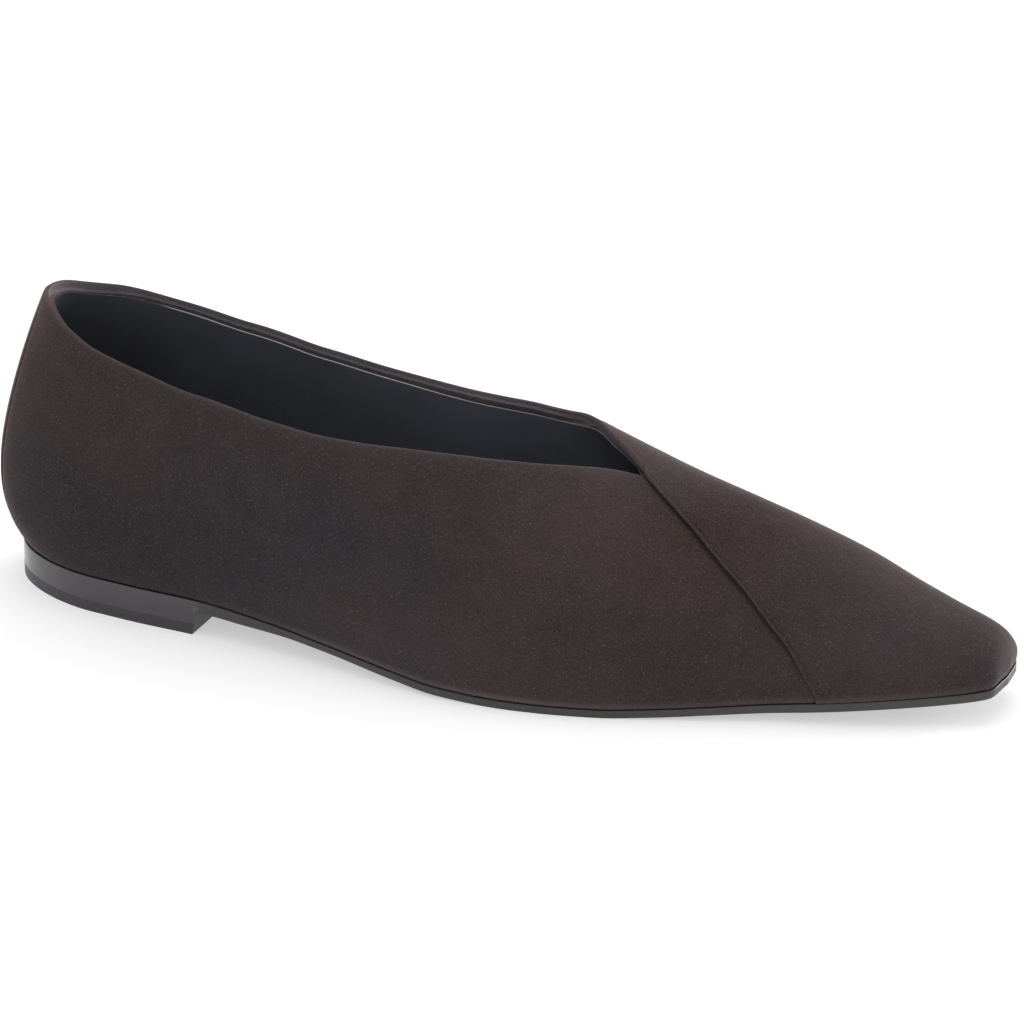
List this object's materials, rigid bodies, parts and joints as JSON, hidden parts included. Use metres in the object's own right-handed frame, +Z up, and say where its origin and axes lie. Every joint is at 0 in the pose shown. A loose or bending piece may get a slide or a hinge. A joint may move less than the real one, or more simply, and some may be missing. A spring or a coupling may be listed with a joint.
{
  "type": "flat shoe",
  "caption": "Right women's flat shoe with a snipped pointed toe, wrapped suede vamp, V-shaped throat, thin leather sole and a low block heel.",
  "frame": {"origin": "on the floor under the middle of the shoe's box", "axes": "+X from heel to toe, +Y towards the inner side of the foot, +Z up from the floor"},
  "size_m": [0.2722, 0.0778, 0.0795],
  "materials": {
    "suede": "dark brown suede",
    "sole_leather": "satin dark edge",
    "heel_finish": "polished dark grey",
    "tip_rubber": "satin black",
    "lining_leather": "smooth black"
  },
  "bodies": {
    "root": {"upper": "suede", "outsole": "sole_leather", "heel": "heel_finish", "heel_tip": "tip_rubber", "insole": "lining_leather"}
  },
  "joints": []
}
